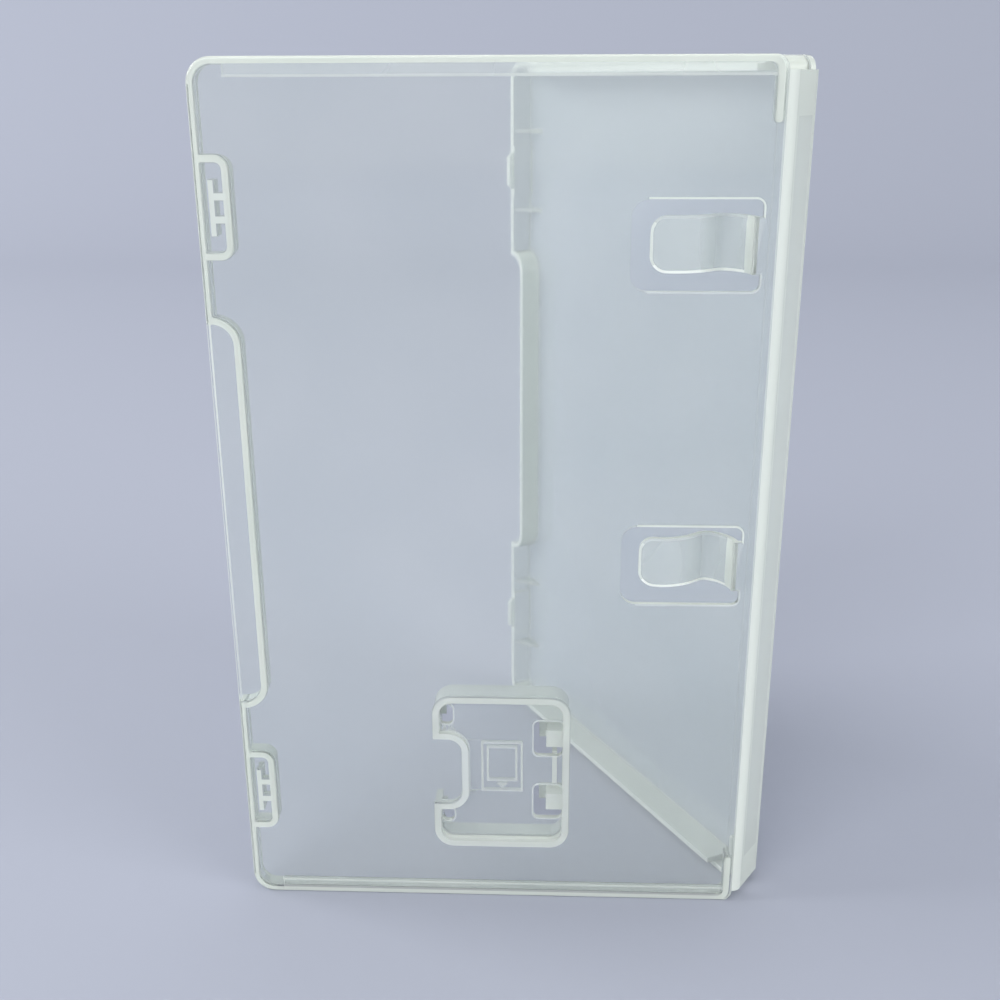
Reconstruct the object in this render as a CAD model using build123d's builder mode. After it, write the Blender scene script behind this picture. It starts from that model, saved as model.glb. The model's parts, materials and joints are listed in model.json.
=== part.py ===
"""Clear game card case standing open on its short edge.

Two trays fold on a spine. The back cover carries the card holder, the booklet clips and the latch pockets,
the front cover the snap hooks. Sizes are in millimetres, angles in degrees.
"""
import os
from math import cos, radians, sin, tan

from build123d import *

# Covers: width runs from a hinge axis, on the outer face, to the free edge
cover_width = 104.5
cover_height = 170.0
panel_thickness = 1.1
wall_thickness = 1.2
back_depth = 4.4
front_depth = 6.0
parting_gap = 0.2
free_corner_radius = 4.5
edge_round = 0.5
rim_chamfer = 0.2

# Finger notch: the free-edge wall is set back at mid height
notch_length = 78.0
notch_inset = 4.9
notch_radius = 4.0

# Fold: angle by which the spine turns from the back cover, and the front cover from the spine
back_turn = 58.0
front_turn = 62.0
fold_clearance = 0.15
web_thickness = 0.4
margin_width = 1.45
margin_thickness = 0.7
hinge_corner_radius = 2.5
return_inset = 1.9
return_length = 11.0
return_round = 0.55

# Latches: hooks on the front cover snap behind bars in the back cover's pockets
latch_spacing = 119.4
latch_clearance = 0.15
hook_length = 8.5
hook_thickness = 0.7
hook_reach = 1.7
hook_chamfer = 1.0
hook_root_length = 12.0
bead_height = 0.3
bead_half_length = 0.35
snap_gap = 0.4
bar_length = 9.7
bar_thickness = 0.9
pocket_length = 18.2
pocket_reach = 6.3
pocket_radius = 2.5
pocket_rib_spacing = 4.0
pocket_rib_thickness = 1.2
pocket_rib_height = 1.4

# Stiffening: gussets and tongues on the front cover, ledges on the back cover
gusset_offset = 9.4
gusset_thickness = 0.8
gusset_run = 6.0
tongue_thickness = 1.2
tongue_reach = 1.7
tongue_clearance = 0.2
tongue_free_end = 12.0
tongue_hinge_end = 8.0
ledge_reach = 3.2
ledge_height = 0.6
ledge_free_end = 6.5

# Card holder: places are distances from the back hinge axis and from the bottom edge
card_width = 21.1
card_height = 31.0
card_thickness = 3.3
card_end_clearance = 0.25
card_side_clearance = 0.45
holder_free_u = 64.65
holder_bottom = 12.5
holder_wall = 1.4
holder_end_wall = 1.95
holder_radius = 4.0
holder_lip = 1.0
holder_chamfer = 0.3
floor_rise = 1.2
thumb_depth = 5.95
thumb_length = 15.4
thumb_center = 30.5
thumb_radius = 3.0
riser_thickness = 1.3
catch_reach = 1.0
catch_thickness = 0.6
catch_windows = ((43.45, 4.5), (19.65, 3.1))
catch_window_width = 2.7
post_width = 3.35
post_length = 3.8
post_spacing = 15.0
post_center = 30.6
post_overhang = 1.5
post_window_width = 5.95
post_window_length = 8.0
window_radius = 1.1
guide_thickness = 1.0
guide_length = 6.9
guide_height = 2.5
guide_offset = 1.1
mark_height = 0.2
mark_line = 0.45
mark_width = 8.7
mark_length = 11.8
mark_center = (50.45, 31.3)
mark_label_width = 6.4
mark_label_length = 8.3
mark_label_rise = 0.7
mark_arrow_width = 2.5
mark_arrow_height = 1.1
mark_arrow_top = 27.3
mark_arrow_line = 0.28

# Booklet clips: sprung tabs in windows beside the back hinge
clip_centers = (138.25, 77.25)
clip_window_start = 4.0
clip_window_end = 27.1
clip_window_height = 16.1
clip_window_radius = 3.0
clip_slot_radius = 1.4
clip_width = 10.1
clip_thickness = 1.0
clip_root = 5.6
clip_tip = 23.5
clip_tip_radius = 3.0
clip_profile = (
    (5.0, 0.5),
    (6.05, 3.3),
    (7.8, 5.2),
    (10.2, 6.2),
    (13.2, 4.2),
    (15.25, 2.95),
    (17.1, 2.3),
    (19.0, 2.1),
    (20.9, 2.45),
    (23.6, 2.9),
)

# Derived sizes
case_depth = back_depth + front_depth + parting_gap
hinge_gap = panel_thickness + fold_clearance
open_turn = back_turn + front_turn
spine_inset = hinge_corner_radius
spine_width = case_depth - 2 * hinge_gap
spine_height = cover_height - 2 * spine_inset
mid_height = cover_height / 2
wall_inner_u = cover_width - wall_thickness
hook_outer_u = wall_inner_u - latch_clearance
hook_inner_u = hook_outer_u - hook_thickness
bar_outer_u = hook_inner_u - latch_clearance - bead_height
bar_inner_u = bar_outer_u - bar_thickness
hook_tip = front_depth + hook_reach
lip_level = case_depth - hook_tip + bead_half_length + snap_gap
bar_top = lip_level + bead_half_length
latch_centers = (mid_height - latch_spacing / 2, mid_height + latch_spacing / 2)
ledge_start_u = return_inset + wall_thickness
ledge_end_u = cover_width - ledge_free_end
floor_top = floor_rise + panel_thickness
catch_level = floor_top + card_thickness
holder_rim = catch_level + holder_lip
holder_width = card_width + 2 * card_side_clearance + 2 * holder_wall + post_width
holder_height = card_height + 2 * card_end_clearance + 2 * holder_end_wall
holder_hinge_u = holder_free_u - holder_width
holder_mid_u = holder_free_u - holder_width / 2
holder_mid_z = holder_bottom + holder_height / 2
post_root_u = holder_hinge_u + holder_wall
post_mid_u = post_root_u + post_width / 2

# Frame: the origin lies under the middle of the standing case, +X runs along the back cover towards the spine
front_web_radius = hinge_gap / tan(radians(front_turn / 2))
back_web_radius = hinge_gap / tan(radians(back_turn / 2))
spine_x = cos(radians(back_turn))
spine_y = sin(radians(back_turn))
front_x = cos(radians(open_turn))
front_y = sin(radians(open_turn))
reach_x = cover_width + (case_depth - hinge_gap) * spine_x + front_web_radius * (1 - spine_y)
reach_y = case_depth * spine_y + (cover_width - edge_round) * front_y + edge_round * (front_x + 1)
back_axis_x = cover_width - reach_x / 2
back_axis_y = -reach_y / 2
front_axis_x = back_axis_x + case_depth * spine_x
front_axis_y = back_axis_y + case_depth * spine_y

# Planes on the outer faces: x runs along the cover, y up, the normal into the case
back_axis = (back_axis_x, back_axis_y, 0)
front_axis = (front_axis_x, front_axis_y, 0)
along_back = (-1, 0, 0)
along_front = (-front_x, -front_y, 0)
along_spine = (-spine_x, -spine_y, 0)
up = (0, 0, 1)
down = (0, 0, -1)
back_plane = Plane(origin=back_axis, x_dir=along_back, z_dir=(0, 1, 0))
front_plane = Plane(origin=front_axis, x_dir=along_front, z_dir=(-front_y, front_x, 0))
spine_plane = Plane(origin=front_axis, x_dir=along_spine, z_dir=(-spine_y, spine_x, 0))

# Planes across the covers: horizontal sections, and the front cover seen along its width
back_section = Plane(origin=back_axis, x_dir=along_back, z_dir=down)
front_section = Plane(origin=front_axis, x_dir=along_front, z_dir=down)
front_end_view = Plane(origin=front_axis, x_dir=up, z_dir=along_front)

# The free edge lies on the +x side of the back plane and on the -x side of the front plane
back_side = 1
front_side = -1


def cover_outline(side, inset):
    """Outline of a cover with round free corners, starting at a distance from the hinge axis."""
    free_end = -1 if side > 0 else 0
    with BuildSketch() as outline:
        with Locations((side * (cover_width + inset) / 2, mid_height)):
            Rectangle(cover_width - inset, cover_height)
        fillet(outline.vertices().group_by(Axis.X)[free_end], free_corner_radius)
    return outline.sketch


def wall_ring(side):
    """Wall round three sides of a cover, with the finger notch and the short returns at the hinge."""
    hinge_end = 0 if side > 0 else -1
    with BuildSketch() as ring:
        add(cover_outline(side, return_inset))
        fillet(ring.vertices().group_by(Axis.X)[hinge_end], hinge_corner_radius)
        with Locations((side * cover_width, mid_height)):
            RectangleRounded(2 * notch_inset, notch_length, notch_radius, mode=Mode.SUBTRACT)
        offset(amount=-wall_thickness, mode=Mode.SUBTRACT)
        with Locations((side * return_inset, mid_height)):
            Rectangle(4 * wall_thickness, cover_height - 2 * return_length, mode=Mode.SUBTRACT)
        fillet(ring.vertices().filter_by_position(Axis.Y, return_length, return_length), return_round)
        return_top = cover_height - return_length
        fillet(ring.vertices().filter_by_position(Axis.Y, return_top, return_top), return_round)
    return ring.sketch


def pocket_frames():
    """Walls of the two latch pockets on the back cover's free edge."""
    with BuildSketch() as frames:
        with Locations(*[(cover_width, center) for center in latch_centers]):
            RectangleRounded(2 * pocket_reach, pocket_length, pocket_radius)
            RectangleRounded(
                2 * (pocket_reach - wall_thickness),
                pocket_length - 2 * wall_thickness,
                pocket_radius - wall_thickness,
                mode=Mode.SUBTRACT,
            )
        add(cover_outline(back_side, return_inset), mode=Mode.INTERSECT)
    return frames.sketch


def hinge_corners(side):
    """What is cut off the panel to round its corners at the hinge."""
    with BuildSketch() as corners:
        with Locations((side * hinge_gap, mid_height)):
            Rectangle(2 * hinge_corner_radius, cover_height)
        with Locations((side * (hinge_gap + 2 * hinge_corner_radius), mid_height)):
            RectangleRounded(4 * hinge_corner_radius, cover_height, hinge_corner_radius, mode=Mode.SUBTRACT)
    return corners.sketch


def cover_tray(plane, side, depth, walls):
    """Panel with its upright walls, rounded along the outer edges and chamfered at the rim."""
    into_case = Axis(plane.origin, plane.z_dir)
    from_hinge = Axis(plane.origin, plane.x_dir * side)
    with BuildPart() as tray:
        with BuildSketch(plane):
            add(cover_outline(side, hinge_gap))
        extrude(amount=panel_thickness)
        with BuildSketch(plane.offset(panel_thickness)):
            add(walls)
        extrude(amount=depth - panel_thickness)
        outer_edges = tray.faces().sort_by(into_case)[0].outer_wire().edges()
        fillet(outer_edges.sort_by(from_hinge)[1:], edge_round)
        chamfer(tray.faces().filter_by(plane).sort_by(into_case)[-1].edges(), rim_chamfer)
        with BuildSketch(plane.offset(margin_thickness)):
            with Locations((side * (hinge_gap + margin_width / 2), mid_height)):
                Rectangle(margin_width, cover_height - 2 * return_length)
        extrude(amount=panel_thickness, mode=Mode.SUBTRACT)
        with BuildSketch(plane):
            add(hinge_corners(side))
        extrude(amount=panel_thickness, mode=Mode.SUBTRACT)
    return tray.part


def booklet_clip(center):
    """Sprung tab that humps over the booklet and dips down to hold it."""
    with BuildPart() as clip:
        with BuildSketch(back_section.offset(-center - clip_width / 2)):
            with BuildLine() as middle:
                Spline(clip_profile)
            trace(middle.line, line_width=clip_thickness)
        extrude(amount=clip_width)
        with BuildSketch(back_plane) as planform:
            with Locations(((clip_window_start + clip_tip) / 2, center)):
                Rectangle(clip_tip - clip_window_start, clip_width)
            fillet(planform.vertices().group_by(Axis.X)[-1], clip_tip_radius)
        extrude(amount=case_depth, mode=Mode.INTERSECT)
    return clip.part


def snap_hook(center):
    """Hook that stands up from the front cover's free-edge wall, with a bead near its tip."""
    foot = front_depth - wall_thickness
    with BuildPart() as hook:
        with BuildSketch(front_section.offset(-center - hook_length / 2)):
            with BuildLine():
                Polyline(
                    (front_side * hook_outer_u, foot),
                    (front_side * hook_outer_u, hook_tip),
                    (front_side * hook_inner_u, hook_tip),
                    (front_side * (hook_inner_u - bead_height), hook_tip - bead_half_length),
                    (front_side * hook_inner_u, hook_tip - 2 * bead_half_length),
                    (front_side * hook_inner_u, foot),
                    close=True,
                )
            make_face()
        extrude(amount=hook_length)
        with BuildSketch(front_end_view.offset(-cover_width)):
            with BuildLine():
                Polyline(
                    (center - hook_length / 2, foot),
                    (center - hook_length / 2, hook_tip - hook_chamfer),
                    (center - hook_length / 2 + hook_chamfer, hook_tip),
                    (center + hook_length / 2 - hook_chamfer, hook_tip),
                    (center + hook_length / 2, hook_tip - hook_chamfer),
                    (center + hook_length / 2, foot),
                    close=True,
                )
            make_face()
        extrude(amount=pocket_reach, mode=Mode.INTERSECT)
    return hook.part


def holder_footprint():
    """Outline of the card holder without its thumb cut-out."""
    with BuildSketch() as footprint:
        with Locations((holder_mid_u, holder_mid_z)):
            RectangleRounded(holder_width, holder_height, holder_radius)
        with Locations((holder_free_u, thumb_center)):
            RectangleRounded(2 * thumb_depth, thumb_length, thumb_radius, mode=Mode.SUBTRACT)
    return footprint.sketch


def holder_ring():
    """Upright wall of the card holder, open at the thumb cut-out."""
    with BuildSketch() as ring:
        with Locations((holder_mid_u, holder_mid_z)):
            RectangleRounded(holder_width, holder_height, holder_radius)
            RectangleRounded(
                holder_width - 2 * holder_wall,
                holder_height - 2 * holder_end_wall,
                holder_radius - holder_wall,
                mode=Mode.SUBTRACT,
            )
        with Locations((holder_free_u, thumb_center)):
            Rectangle(2 * thumb_depth, thumb_length, mode=Mode.SUBTRACT)
    return ring.sketch


def arrow_mark():
    """Outline of an arrow that points down from the middle of its upper side."""
    with BuildSketch() as arrow:
        with BuildLine():
            Polyline((-mark_arrow_width / 2, 0), (mark_arrow_width / 2, 0), (0, -mark_arrow_height), close=True)
        make_face()
        offset(amount=-mark_arrow_line, mode=Mode.SUBTRACT)
    return arrow.sketch


def card_mark():
    """Raised outline of a card with its label and an arrow, on the holder's floor."""
    mark_u, mark_z = mark_center
    with BuildSketch() as mark:
        with Locations(mark_center):
            Rectangle(mark_width, mark_length)
            Rectangle(mark_width - 2 * mark_line, mark_length - 2 * mark_line, mode=Mode.SUBTRACT)
        with Locations((mark_u, mark_z + mark_label_rise)):
            Rectangle(mark_label_width, mark_label_length)
            Rectangle(mark_label_width - 2 * mark_line, mark_label_length - 2 * mark_line, mode=Mode.SUBTRACT)
        with Locations((mark_u, mark_arrow_top)):
            add(arrow_mark())
    return mark.sketch


back_walls = [wall_ring(back_side), pocket_frames()]
back_tray = cover_tray(back_plane, back_side, back_depth, back_walls)
clips = [booklet_clip(center) for center in clip_centers]

with BuildPart() as back_cover:
    add(back_tray)
    # Bars with their lips, and the ribs behind them
    for center in latch_centers:
        with BuildSketch(back_section.offset(-center - bar_length / 2)):
            with BuildLine():
                Polyline(
                    (bar_inner_u, panel_thickness / 2),
                    (bar_inner_u, bar_top),
                    (bar_outer_u, bar_top),
                    (bar_outer_u + bead_height, lip_level),
                    (bar_outer_u, lip_level - bead_half_length),
                    (bar_outer_u, panel_thickness / 2),
                    close=True,
                )
            make_face()
        extrude(amount=bar_length)
    with BuildSketch(back_plane.offset(panel_thickness)):
        rib_start_u = cover_width - pocket_reach + wall_thickness / 2
        rib_end_u = bar_inner_u + bar_thickness / 2
        with Locations(*[((rib_start_u + rib_end_u) / 2, center) for center in latch_centers]):
            with GridLocations(0, pocket_rib_spacing, 1, 2):
                Rectangle(rib_end_u - rib_start_u, pocket_rib_thickness)
    extrude(amount=pocket_rib_height)
    # Ledges along the feet of the top and bottom walls
    with BuildSketch(back_plane.offset(panel_thickness)):
        with Locations(((ledge_start_u + ledge_end_u) / 2, mid_height)):
            with GridLocations(0, cover_height - ledge_reach - wall_thickness / 2, 1, 2):
                Rectangle(ledge_end_u - ledge_start_u, ledge_reach - wall_thickness / 2)
    extrude(amount=ledge_height)
    # Card holder: raised floor, wall, hollow under the floor
    with BuildSketch(back_plane):
        add(holder_footprint())
    extrude(amount=floor_top)
    with BuildSketch(back_plane.offset(panel_thickness)):
        add(holder_ring())
    extrude(amount=holder_rim - panel_thickness)
    chamfer(back_cover.faces().sort_by(Axis(back_plane.origin, back_plane.z_dir))[-1].edges(), holder_chamfer)
    with BuildSketch(back_plane):
        add(holder_footprint())
        offset(amount=-riser_thickness, mode=Mode.REPLACE)
    extrude(amount=floor_rise, mode=Mode.SUBTRACT)
    # Windows under the catches and round the snap posts
    with BuildSketch(back_plane):
        for window_z, window_length in catch_windows:
            with Locations((holder_free_u - holder_wall - catch_window_width / 2, window_z)):
                RectangleRounded(catch_window_width, window_length, window_radius)
        with Locations((post_root_u + post_window_width / 2, post_center)):
            with GridLocations(0, post_spacing, 1, 2):
                RectangleRounded(post_window_width, post_window_length, window_radius)
    extrude(amount=floor_top, mode=Mode.SUBTRACT)
    # Catches on the wall beside the thumb cut-out
    with BuildSketch(back_plane.offset(catch_level)):
        for window_z, window_length in catch_windows:
            with Locations((holder_free_u - holder_wall - catch_reach / 2, window_z)):
                Rectangle(catch_reach, window_length)
    extrude(amount=catch_thickness)
    # Snap posts with overhanging heads
    with BuildSketch(back_plane.offset(floor_rise)):
        with Locations((post_mid_u - holder_wall / 2, post_center)):
            with GridLocations(0, post_spacing, 1, 2):
                Rectangle(post_width + holder_wall, post_length)
    extrude(amount=catch_level - floor_rise)
    with BuildSketch(back_plane.offset(catch_level)):
        with Locations((post_mid_u + post_overhang / 2 - holder_wall / 2, post_center)):
            with GridLocations(0, post_spacing, 1, 2):
                Rectangle(post_width + post_overhang + holder_wall, post_length)
    extrude(amount=catch_thickness)
    # Guide wall between the posts
    with BuildSketch(back_plane.offset(floor_top)):
        with Locations((post_root_u + guide_offset + guide_thickness / 2, post_center + guide_thickness / 2)):
            Rectangle(guide_thickness, guide_length)
    extrude(amount=guide_height)
    with BuildSketch(back_plane.offset(floor_top)):
        add(card_mark())
    extrude(amount=mark_height)
    # Clip windows, then the tabs and the strip that roots them
    for center in clip_centers:
        with BuildSketch(back_plane) as window:
            with Locations(((clip_window_start + clip_window_end) / 2, center)):
                Rectangle(clip_window_end - clip_window_start, clip_window_height)
            fillet(window.vertices().group_by(Axis.X)[-1], clip_window_radius)
            fillet(window.vertices().group_by(Axis.X)[0], clip_slot_radius)
            with Locations(((clip_window_start + clip_root) / 2, center)):
                Rectangle(clip_root - clip_window_start, clip_width, mode=Mode.SUBTRACT)
        extrude(amount=panel_thickness, mode=Mode.SUBTRACT)
    add(clips)
back_cover.part.label = "back_cover"

front_tray = cover_tray(front_plane, front_side, front_depth, wall_ring(front_side))
hooks = [snap_hook(center) for center in latch_centers]

with BuildPart() as front_cover:
    add(front_tray)
    # Hook roots on the free-edge wall
    with BuildSketch(front_plane.offset(panel_thickness)):
        hook_root_u = (wall_inner_u + hook_inner_u) / 2
        with Locations(*[(front_side * hook_root_u, center) for center in latch_centers]):
            Rectangle(wall_inner_u - hook_inner_u, hook_root_length)
    extrude(amount=front_depth - panel_thickness)
    add(hooks)
    # Gussets between the free-edge wall and the panel
    for center in latch_centers:
        for gusset_z in (center - gusset_offset, center + gusset_offset):
            with BuildSketch(front_section.offset(-gusset_z - gusset_thickness / 2)):
                with BuildLine():
                    Polyline(
                        (front_side * (wall_inner_u + wall_thickness / 2), panel_thickness / 2),
                        (front_side * (wall_inner_u + wall_thickness / 2), front_depth - wall_thickness / 2),
                        (front_side * wall_inner_u, front_depth - wall_thickness / 2),
                        (front_side * (wall_inner_u - gusset_run), panel_thickness),
                        (front_side * (wall_inner_u - gusset_run), panel_thickness / 2),
                        close=True,
                    )
                make_face()
            extrude(amount=gusset_thickness)
    # Tongues that enter the back cover just inside its top and bottom walls
    tongue_length = cover_width - tongue_free_end - tongue_hinge_end
    tongue_mid_u = (cover_width - tongue_free_end + tongue_hinge_end) / 2
    tongue_end = wall_thickness + tongue_clearance
    with BuildSketch(front_plane.offset(panel_thickness)):
        with Locations((front_side * tongue_mid_u, mid_height)):
            with GridLocations(0, cover_height - wall_thickness - tongue_end - tongue_thickness, 1, 2):
                Rectangle(tongue_length, tongue_end + tongue_thickness - wall_thickness)
    extrude(amount=front_depth - panel_thickness)
    with BuildSketch(front_plane.offset(front_depth - wall_thickness)):
        with Locations((front_side * tongue_mid_u, mid_height)):
            with GridLocations(0, cover_height - 2 * tongue_end - tongue_thickness, 1, 2):
                Rectangle(tongue_length, tongue_thickness)
    extrude(amount=tongue_reach + wall_thickness)
front_cover.part.label = "front_cover"

with BuildPart() as spine:
    with BuildSketch(spine_plane):
        with Locations((case_depth / 2, mid_height)):
            Rectangle(spine_width, spine_height)
    extrude(amount=panel_thickness)
spine.part.label = "spine"

# Webs: thin strips that bend from a cover's edge round to the spine's edge
back_edge_point = back_plane.from_local_coords((hinge_gap, 0, 0))
back_bend_point = back_plane.from_local_coords((hinge_gap, 0, back_web_radius))
front_edge_point = spine_plane.from_local_coords((hinge_gap, 0, 0))
front_bend_point = spine_plane.from_local_coords((hinge_gap, 0, front_web_radius))
back_edge = Plane(back_edge_point, x_dir=back_plane.z_dir, z_dir=-back_plane.x_dir)
front_edge = Plane(front_edge_point, x_dir=spine_plane.z_dir, z_dir=-spine_plane.x_dir)

with BuildPart() as back_living_hinge:
    with BuildSketch(back_edge):
        with Locations((web_thickness / 2, mid_height)):
            Rectangle(web_thickness, spine_height)
    revolve(axis=Axis(back_bend_point, up), revolution_arc=back_turn)
back_living_hinge.part.label = "back_living_hinge"

with BuildPart() as front_living_hinge:
    with BuildSketch(front_edge):
        with Locations((web_thickness / 2, mid_height)):
            Rectangle(web_thickness, spine_height)
    revolve(axis=Axis(front_bend_point, up), revolution_arc=front_turn)
front_living_hinge.part.label = "front_living_hinge"

os.makedirs("parts", exist_ok=True)
export_step(back_cover.part, "parts/back_cover.step")
export_step(spine.part, "parts/spine.step")
export_step(front_cover.part, "parts/front_cover.step")
export_step(back_living_hinge.part, "parts/back_living_hinge.step")
export_step(front_living_hinge.part, "parts/front_living_hinge.step")
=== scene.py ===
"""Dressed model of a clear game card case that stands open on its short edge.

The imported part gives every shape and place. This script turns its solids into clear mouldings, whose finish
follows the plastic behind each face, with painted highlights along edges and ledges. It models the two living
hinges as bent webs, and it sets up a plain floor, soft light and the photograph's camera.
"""
from __future__ import annotations

import json
import logging
import math
from dataclasses import dataclass
from enum import Enum
from typing import Any

import bmesh
import bpy
from mathutils import Euler, Matrix, Vector
from mathutils.bvhtree import BVHTree
from mathutils.geometry import delaunay_2d_cdt, intersect_point_line

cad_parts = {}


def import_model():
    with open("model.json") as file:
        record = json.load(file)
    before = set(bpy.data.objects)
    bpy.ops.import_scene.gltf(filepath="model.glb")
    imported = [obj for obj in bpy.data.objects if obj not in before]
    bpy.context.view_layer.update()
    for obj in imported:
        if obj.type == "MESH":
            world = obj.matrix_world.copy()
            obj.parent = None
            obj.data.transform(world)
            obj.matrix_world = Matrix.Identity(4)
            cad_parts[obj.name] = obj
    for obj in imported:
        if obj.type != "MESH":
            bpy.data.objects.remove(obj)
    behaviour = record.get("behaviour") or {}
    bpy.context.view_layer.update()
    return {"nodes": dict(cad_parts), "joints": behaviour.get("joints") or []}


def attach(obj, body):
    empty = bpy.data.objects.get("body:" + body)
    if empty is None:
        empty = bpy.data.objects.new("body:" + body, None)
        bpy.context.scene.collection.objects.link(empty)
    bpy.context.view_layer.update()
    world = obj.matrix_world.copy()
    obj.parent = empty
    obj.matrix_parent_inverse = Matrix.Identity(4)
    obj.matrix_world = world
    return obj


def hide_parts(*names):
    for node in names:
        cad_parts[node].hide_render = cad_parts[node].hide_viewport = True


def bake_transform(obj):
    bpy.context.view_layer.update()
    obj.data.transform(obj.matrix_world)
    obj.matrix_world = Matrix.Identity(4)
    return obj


LOG = logging.getLogger("card_case")
MM = 0.001
# Face attribute for the strips along a flat's edges, which take a painted highlight
STRIP = "edge_strip"

# Where the hinge axes stand in the frame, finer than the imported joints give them
BACK_AXIS_MM = (49.61457, -49.65298)
FRONT_AXIS_MM = (55.23172, -40.66367)

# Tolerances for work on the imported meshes: touching points, welded seams, flats, near places and flat angles
TOUCH_MM = 0.001
WELD_MM = 0.002
FLAT_MM = 0.003
NEAR_MM = 0.01
FLAT_DEG = 0.2

# Sockets of a mix node for colours, which go by number because their names repeat
MIX_SHARE = 0
MIX_FIRST = 6
MIX_SECOND = 7
MIX_COLOUR = 2

# A window on a cover: its least and most across, then its least and most up, in millimetres
Window = tuple[float, float, float, float]


def linear(hex_colour: str) -> tuple[float, float, float, float]:
    """Turns an sRGB hex value into a linear colour.

    Args:
        hex_colour: Six hex digits with a leading hash.

    Returns:
        Linear red, green and blue, with an alpha of 1.
    """
    channels = [int(hex_colour[i:i + 2], 16) / 255 for i in (1, 3, 5)]
    red, green, blue = (c / 12.92 if c <= 0.04045 else ((c + 0.055) / 1.055) ** 2.4 for c in channels)
    return red, green, blue, 1.0


def add_node(
    tree: bpy.types.NodeTree,
    kind: str,
    settings: dict[str | int, Any],
    links: dict[str | int, bpy.types.NodeSocket],
) -> bpy.types.Node:
    """Adds a shader node with its settings and links.

    Args:
        tree: Node tree that gets the node.
        kind: Blender's type name of the node.
        settings: Values by name of a property, or by name or number of an input socket.
        links: Output sockets by name or number of the input that they feed.

    Returns:
        The new node.
    """
    node = tree.nodes.new(kind)
    for key, value in settings.items():
        if isinstance(key, int) or key in node.inputs:
            node.inputs[key].default_value = value
        else:
            setattr(node, key, value)
    for key, source in links.items():
        tree.links.new(source, node.inputs[key])
    return node


def add_noise(
    tree: bpy.types.NodeTree, coords: bpy.types.NodeSocket, size_mm: float, detail: float = 0.0
) -> bpy.types.NodeSocket:
    """Adds noise of a real size.

    Args:
        tree: Node tree that gets the noise.
        coords: Object coordinates.
        size_mm: Size of its features.
        detail: Octaves of finer noise.

    Returns:
        The noise, from 0 to 1.
    """
    settings = {"Scale": 1 / (size_mm * MM), "Detail": detail}
    return add_node(tree, "ShaderNodeTexNoise", settings, {"Vector": coords}).outputs["Fac"]


def new_tree(name: str) -> tuple[bpy.types.Material, bpy.types.NodeTree, bpy.types.NodeSocket]:
    """Makes a node material that holds only object coordinates.

    Args:
        name: Name of the material.

    Returns:
        The material, its node tree and the coordinates.
    """
    material = bpy.data.materials.new(name)
    material.use_nodes = True
    tree = material.node_tree
    tree.nodes.clear()
    return material, tree, add_node(tree, "ShaderNodeTexCoord", {}, {}).outputs["Object"]


def select_only(piece: bpy.types.Object) -> None:
    """Selects one object alone and makes it active.

    Args:
        piece: The object.
    """
    bpy.ops.object.select_all(action="DESELECT")
    piece.select_set(True)
    bpy.context.view_layer.objects.active = piece


def apply_place(piece: bpy.types.Object) -> None:
    """Moves an object's place, turn and scale into its mesh."""
    select_only(piece)
    bpy.ops.object.transform_apply(location=True, rotation=True, scale=True)


def log_piece(piece: bpy.types.Object) -> None:
    """Logs a piece's name and how many faces it has."""
    LOG.info("%s: %d faces", piece.name, len(piece.data.polygons))


def level_direction(turn_deg: float) -> Vector:
    """Level direction at an angle from the frame's X axis."""
    return Vector((math.cos(math.radians(turn_deg)), math.sin(math.radians(turn_deg)), 0))


class Zone(Enum):
    """Regions of a moulding that look different, each with the number of its material slot."""

    PANEL = 0
    SIDE = 1
    WALL = 2
    RIM = 3
    LINE = 4
    HOLDER = 5
    TAB = 6
    HAZE = 7


@dataclass(frozen=True)
class ClearPolypropylene:
    """Unfilled polypropylene, injection moulded in a polished or lightly etched mould.

    It is clear with a milky veil. Crystals in the plastic scatter a little light, so a thin panel looks
    glassy, while walls and rims, where light travels further through the plastic, look white with a trace of
    green.
    """

    name: str
    tint: str
    shade: str
    clarity: float
    smooth: float
    rough: float
    ripple_height_mm: float
    ripple_mm: float = 38.0
    cloud_mm: float = 24.0
    cloud_detail: float = 1.0
    grain_mm: float = 1.6
    grain_least: float = 0.3
    grain_most: float = 0.7
    ior: float = 1.49

    def material(self) -> bpy.types.Material:
        """Finds the node material, or builds it.

        Returns:
            A Principled material with cloudy tint, patchy gloss and the slow ripple of a moulded sheet.
        """
        if self.name in bpy.data.materials:
            return bpy.data.materials[self.name]
        material, tree, coords = new_tree(self.name)
        tint = add_node(
            tree,
            "ShaderNodeMix",
            {"data_type": "RGBA", MIX_FIRST: linear(self.tint), MIX_SECOND: linear(self.shade)},
            {MIX_SHARE: add_noise(tree, coords, self.cloud_mm, self.cloud_detail)},
        )
        gloss = add_node(
            tree,
            "ShaderNodeMapRange",
            {
                "From Min": self.grain_least,
                "From Max": self.grain_most,
                "To Min": self.smooth,
                "To Max": self.rough,
            },
            {"Value": add_noise(tree, coords, self.grain_mm)},
        )
        bump = add_node(
            tree,
            "ShaderNodeBump",
            {"Strength": 1.0, "Distance": self.ripple_height_mm * MM},
            {"Height": add_noise(tree, coords, self.ripple_mm)},
        )
        plastic = add_node(
            tree,
            "ShaderNodeBsdfPrincipled",
            {"IOR": self.ior, "Transmission Weight": self.clarity},
            {
                "Base Color": tint.outputs[MIX_COLOUR],
                "Roughness": gloss.outputs["Result"],
                "Normal": bump.outputs["Normal"],
            },
        )
        add_node(tree, "ShaderNodeOutputMaterial", {}, {"Surface": plastic.outputs["BSDF"]})
        return material


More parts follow.
